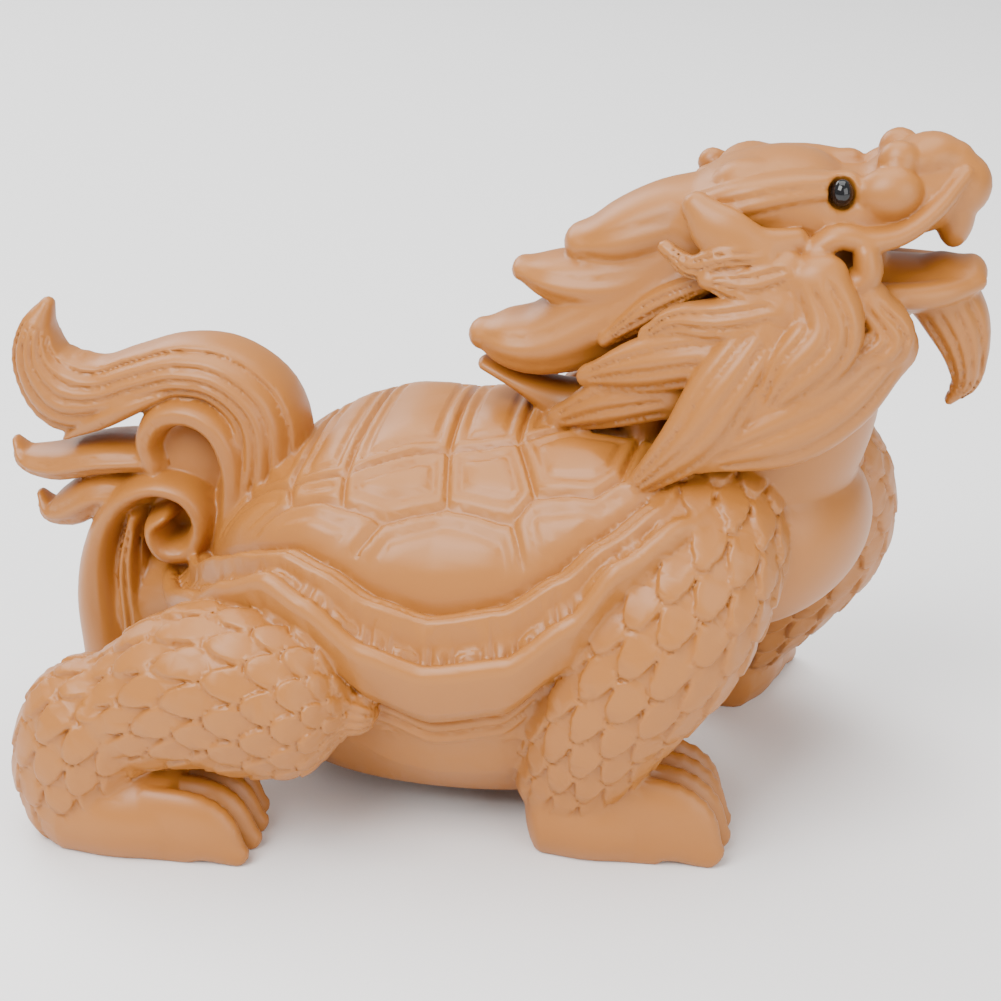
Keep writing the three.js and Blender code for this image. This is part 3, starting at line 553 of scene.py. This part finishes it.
def carve_mane(clay):
    clay.tube(flat([(53.6, 70.3, 4.4, 5.6), (56.2, 66, 4, 5), (57.4, 61.8, 2.8, 4), (57.4, 58.8, 1.9, 2.4),
                    (55.8, 56.2, 0.6, 1)]), relief=strands(5, 0.6))
    clay.tube(flat([(29.1, 74.7, 4, 8), (23.4, 67.1, 4, 9), (19.6, 58.5, 4, 9), (18.8, 49.8, 4, 9)]))
    for lock in MANE_LOCKS:
        clay.tube(lock, blend=0.3, relief=strands(4, 0.6, 0.05))


def carve_figure(pitch):
    clay = Clay((-68, -38, -2), (63, 43, 93), pitch)
    carve_shell(clay)
    carve_tail(clay)
    carve_rear_leg(clay)
    carve_neck(clay)
    carve_horn(clay)
    carve_head(clay)
    carve_mane(clay)
    clay.lump(EYE_CENTRE, (1.65, 1.8, 2.0), cut=True)
    clay.mirror()
    carve_front_legs(clay)
    slices, (x, y, z) = clay.window((-68, -38, -2), (63, 43, 93))
    clay.field[slices] = np.maximum(clay.field[slices], -z)
    return clay


# From the clay to a mesh.
def keep_largest(points, faces):
    """Drops loose crumbs and sealed hollows, so that one closed skin is left."""
    labels = np.arange(len(points))
    edges = np.vstack([faces[:, [corner, (corner + 1) % 3]] for corner in range(3)])
    while True:
        lowest = np.minimum(labels[edges[:, 0]], labels[edges[:, 1]])
        fresh = labels.copy()
        np.minimum.at(fresh, labels[edges[:, 0]], lowest)
        np.minimum.at(fresh, labels[edges[:, 1]], lowest)
        fresh = fresh[fresh]
        if np.array_equal(fresh, labels):
            break
        labels = fresh
    kept = faces[labels[faces[:, 0]] == np.bincount(labels).argmax()]
    used, corners = np.unique(kept, return_inverse=True)
    return points[used], corners.reshape(-1, 3)


def sample(clay, places):
    """The distance field between grid points."""
    spot = places / clay.pitch - clay.first
    base = np.clip(np.floor(spot).astype(int), 0, np.array(clay.shape) - 2)
    part = spot - base
    total = np.zeros(len(places))
    for corner in np.ndindex(2, 2, 2):
        weight = np.prod(np.where(corner, part, 1 - part), axis=1)
        total += weight * clay.field[tuple((base + corner).T)]
    return total


def skin(clay, name, most_triangles, shift):
    """The carved surface as a closed mesh object in the row frame."""
    grid = openvdb.FloatGrid(background=1.0)
    grid.copyFromArray(np.clip(clay.field, -1, 1))
    points, triangles, quads = grid.convertToPolygons(isovalue=0.0, adaptivity=0.0)
    faces = np.vstack([triangles, quads[:, [0, 1, 2]], quads[:, [0, 2, 3]]]) if len(triangles) else \
        np.vstack([quads[:, [0, 1, 2]], quads[:, [0, 2, 3]]])
    points, faces = keep_largest((points + clay.first) * clay.pitch, faces[:, ::-1])
    mesh = bpy.data.meshes.new(name)
    mesh.from_pydata((points + shift) * MM, [], faces)
    piece = bpy.data.objects.new(name, mesh)
    bpy.context.scene.collection.objects.link(piece)
    thin = piece.modifiers.new("Fewer triangles", "DECIMATE")
    thin.ratio = min(1.0, most_triangles / len(faces))
    bpy.context.view_layer.update()
    lighter = bpy.data.meshes.new_from_object(piece.evaluated_get(bpy.context.evaluated_depsgraph_get()))
    piece.modifiers.remove(thin)
    piece.data = lighter
    lighter.name = name
    bpy.data.meshes.remove(mesh)
    lighter.shade_smooth()
    return piece


def store_shade_and_stain(piece, clay, shift):
    """Keeps on each point how deep it lies in a furrow, for painted shade in the wood's colour, which partly also
    stands for the dark stain that polished boxwood keeps in its cuts.
    """
    count = len(piece.data.vertices)
    places = np.empty(count * 3)
    piece.data.vertices.foreach_get("co", places)
    places = places.reshape(-1, 3) / MM - shift
    normals = np.empty(count * 3)
    piece.data.vertices.foreach_get("normal", normals)
    normals = normals.reshape(-1, 3)
    shade_and_stain = np.zeros(count)
    # Painted shade: the less free room out along the normal, the more the point is darkened.
    for reach in (0.5, 1.2):
        shade_and_stain += np.clip(1 - sample(clay, places + normals * reach) / reach, 0, 1) * 0.5
    attribute = piece.data.attributes.new("painted_shade_and_stain", "FLOAT", "POINT")
    attribute.data.foreach_set("value", shade_and_stain.astype(np.float32))


# Materials.
def new_material(name):
    material = bpy.data.materials.new(name)
    material.use_nodes = True
    return material, material.node_tree, material.node_tree.nodes["Principled BSDF"]


def make_boxwood(settings):
    material, tree, shader = new_material("boxwood")
    nodes, links = tree.nodes, tree.links
    place = nodes.new("ShaderNodeTexCoord")
    stretch = nodes.new("ShaderNodeMapping")
    stretch.inputs["Scale"].default_value = (45, 260, 260)
    grain = nodes.new("ShaderNodeTexNoise")
    grain.inputs["Scale"].default_value = 1.0
    grain.inputs["Detail"].default_value = 6
    links.new(place.outputs["Object"], stretch.inputs["Vector"])
    links.new(stretch.outputs["Vector"], grain.inputs["Vector"])
    ramp = nodes.new("ShaderNodeValToRGB")
    ramp.color_ramp.elements[0].position = 0.3
    ramp.color_ramp.elements[1].position = 0.7
    ramp.color_ramp.elements[0].color = (*settings.wood_dark, 1)
    ramp.color_ramp.elements[1].color = (*settings.wood_light, 1)
    links.new(grain.outputs["Fac"], ramp.inputs["Fac"])
    # Painted shade, partly also stain: the grain colour is mixed towards the dark furrow colour where the carving
    # shuts a point in.
    painted_shade_and_stain = nodes.new("ShaderNodeAttribute")
    painted_shade_and_stain.attribute_name = "painted_shade_and_stain"
    depth = nodes.new("ShaderNodeMapRange")
    depth.inputs["From Min"].default_value = 0.1
    depth.inputs["From Max"].default_value = 0.8
    links.new(painted_shade_and_stain.outputs["Fac"], depth.inputs["Value"])
    mix = nodes.new("ShaderNodeMix")
    mix.data_type = "RGBA"
    mix.inputs["B"].default_value = (*settings.wood_shade_and_stain, 1)
    colour_a = [socket for socket in mix.inputs if socket.identifier == "A_Color"][0]
    colour_b = [socket for socket in mix.inputs if socket.identifier == "B_Color"][0]
    colour_b.default_value = (*settings.wood_shade_and_stain, 1)
    links.new(ramp.outputs["Color"], colour_a)
    links.new(depth.outputs["Result"], mix.inputs["Factor"])
    result = [socket for socket in mix.outputs if socket.identifier == "Result_Color"][0]
    links.new(result, shader.inputs["Base Color"])
    shader.inputs["Roughness"].default_value = settings.wood_roughness
    return material


def make_black_glass():
    material, tree, shader = new_material("black bead")
    shader.inputs["Base Color"].default_value = (0.004, 0.004, 0.005, 1)
    shader.inputs["Roughness"].default_value = 0.08
    return material


def make_paper():
    material, tree, shader = new_material("pale floor")
    shader.inputs["Base Color"].default_value = (0.86, 0.86, 0.86, 1)
    shader.inputs["Roughness"].default_value = 0.9
    return material


class FigureSettings(bpy.types.PropertyGroup):
    grid_pitch: bpy.props.FloatProperty(
        name="Grid pitch", description="Spacing of the carving grid, in millimetres", default=0.3, min=0.2, max=1.5)
    most_triangles: bpy.props.IntProperty(
        name="Triangles", description="The most triangles that the carved piece may have",
        default=198000, min=10000, max=199000)
    wood_light: bpy.props.FloatVectorProperty(
        name="Light wood", description="Colour of the pale grain", subtype="COLOR", size=3,
        default=(0.80, 0.49, 0.19), min=0, max=1)
    wood_dark: bpy.props.FloatVectorProperty(
        name="Dark wood", description="Colour of the darker grain", subtype="COLOR", size=3,
        default=(0.66, 0.36, 0.11), min=0, max=1)
    # Colour of the painted shade down in the cuts, partly also the dark stain the wood keeps there.
    wood_shade_and_stain: bpy.props.FloatVectorProperty(
        name="Furrow", description="Colour down in the cuts", subtype="COLOR", size=3,
        default=(0.36, 0.13, 0.02), min=0, max=1)
    wood_roughness: bpy.props.FloatProperty(
        name="Roughness", description="How dull the polished wood is", subtype="FACTOR", default=0.42, min=0, max=1)
    camera_distance: bpy.props.FloatProperty(
        name="Camera distance", description="From the camera to the middle of the figure", subtype="DISTANCE",
        unit="LENGTH", default=0.28, min=0.1, max=3)


def figure_shift():
    """How far the carving's own origin lies from the row's, read from the near eye of the frame."""
    low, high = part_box("eye_right")
    return np.array((low + high) / 2) / MM - np.array(EYE_CENTRE)


class CarveFigure(bpy.types.Operator):
    """Carves the dragon turtle in one closed piece of boxwood"""
    bl_idname = "dragon_turtle.carve_figure"
    bl_label = "Carve the figure"

    def execute(self, context):
        settings = context.scene.dragon_turtle
        pitch = settings.grid_pitch
        shift = figure_shift()
        clay = carve_figure(pitch)
        piece = skin(clay, "dragon_turtle", settings.most_triangles, shift)
        store_shade_and_stain(piece, clay, shift)
        piece.data.materials.append(make_boxwood(settings))
        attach(piece, "root")
        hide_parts("carved_dragon_turtle")
        return {"FINISHED"}


class InlayEyes(bpy.types.Operator):
    """Sets a black bead in each eye socket"""
    bl_idname = "dragon_turtle.inlay_eyes"
    bl_label = "Inlay the eyes"

    def execute(self, context):
        glass = make_black_glass()
        for node in ("eye_right", "eye_left"):
            low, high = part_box(node)
            bpy.ops.mesh.primitive_uv_sphere_add(segments=40, ring_count=24, radius=1)
            bead = context.active_object
            bead.name = "bead_" + node
            half, middle = (high - low) / 2, (high + low) / 2
            bead.data.transform(Matrix.Translation(middle) @ Matrix.Diagonal((*half, 1)))
            bead.data.shade_smooth()
            bead.data.materials.append(glass)
            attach(bead, "root")
            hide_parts(node)
        return {"FINISHED"}


class SetStage(bpy.types.Operator):
    """Sets the pale floor, the soft lights and the camera"""
    bl_idname = "dragon_turtle.set_stage"
    bl_label = "Set the stage"

    def execute(self, context):
        settings = context.scene.dragon_turtle
        bpy.ops.mesh.primitive_plane_add(size=6)
        floor = context.active_object
        floor.name = "Floor"
        floor.data.materials.append(make_paper())
        target = Vector((3, -2.6, 38.5)) * MM
        azimuth, elevation = math.radians(10), math.radians(23.5)
        outward = Vector((math.sin(azimuth) * math.cos(elevation), -math.cos(azimuth) * math.cos(elevation),
                          math.sin(elevation)))
        camera = bpy.data.objects.new("Camera", bpy.data.cameras.new("Camera"))
        context.scene.collection.objects.link(camera)
        camera.location = target + outward * settings.camera_distance
        camera.rotation_euler = (-outward).to_track_quat("-Z", "Y").to_euler()
        camera.data.lens = 77.54
        camera.data.sensor_width = 36
        camera.data.clip_start = 0.005
        context.scene.camera = camera
        for name, place, size, power in (("Key", (-0.25, -0.45, 0.65), 0.5, 9), ("Fill", (0.6, -0.5, 0.35), 0.6, 4),
                                         ("Top", (0, 0.15, 0.9), 0.8, 8), ("Back", (-0.5, 0.5, 0.5), 0.5, 4)):
            lamp = bpy.data.lights.new(name, "AREA")
            lamp.energy = power
            lamp.size = size
            light = bpy.data.objects.new(name, lamp)
            context.scene.collection.objects.link(light)
            light.location = place
            light.rotation_euler = (target - Vector(place)).to_track_quat("-Z", "Y").to_euler()
        world = bpy.data.worlds.new("Studio")
        world.use_nodes = True
        world.node_tree.nodes["Background"].inputs["Color"].default_value = (1, 1, 1, 1)
        world.node_tree.nodes["Background"].inputs["Strength"].default_value = 0.6
        context.scene.world = world
        return {"FINISHED"}


class DragonTurtlePanel(bpy.types.Panel):
    bl_idname = "VIEW3D_PT_dragon_turtle"
    bl_label = "Dragon turtle"
    bl_space_type = "VIEW_3D"
    bl_region_type = "UI"
    bl_category = "Dragon turtle"

    def draw(self, context):
        settings = context.scene.dragon_turtle
        for name in FigureSettings.__annotations__:
            self.layout.prop(settings, name)
        for operator in OPERATORS:
            self.layout.operator(operator.bl_idname)


OPERATORS = (CarveFigure, InlayEyes, SetStage)
CLASSES = (FigureSettings, *OPERATORS, DragonTurtlePanel)


def register():
    for item in CLASSES:
        bpy.utils.register_class(item)
    bpy.types.Scene.dragon_turtle = bpy.props.PointerProperty(type=FigureSettings)


def unregister():
    del bpy.types.Scene.dragon_turtle
    for item in reversed(CLASSES):
        bpy.utils.unregister_class(item)


def main():
    register()
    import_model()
    bpy.ops.dragon_turtle.carve_figure()
    bpy.ops.dragon_turtle.inlay_eyes()
    bpy.ops.dragon_turtle.set_stage()


if __name__ == "__main__":
    main()
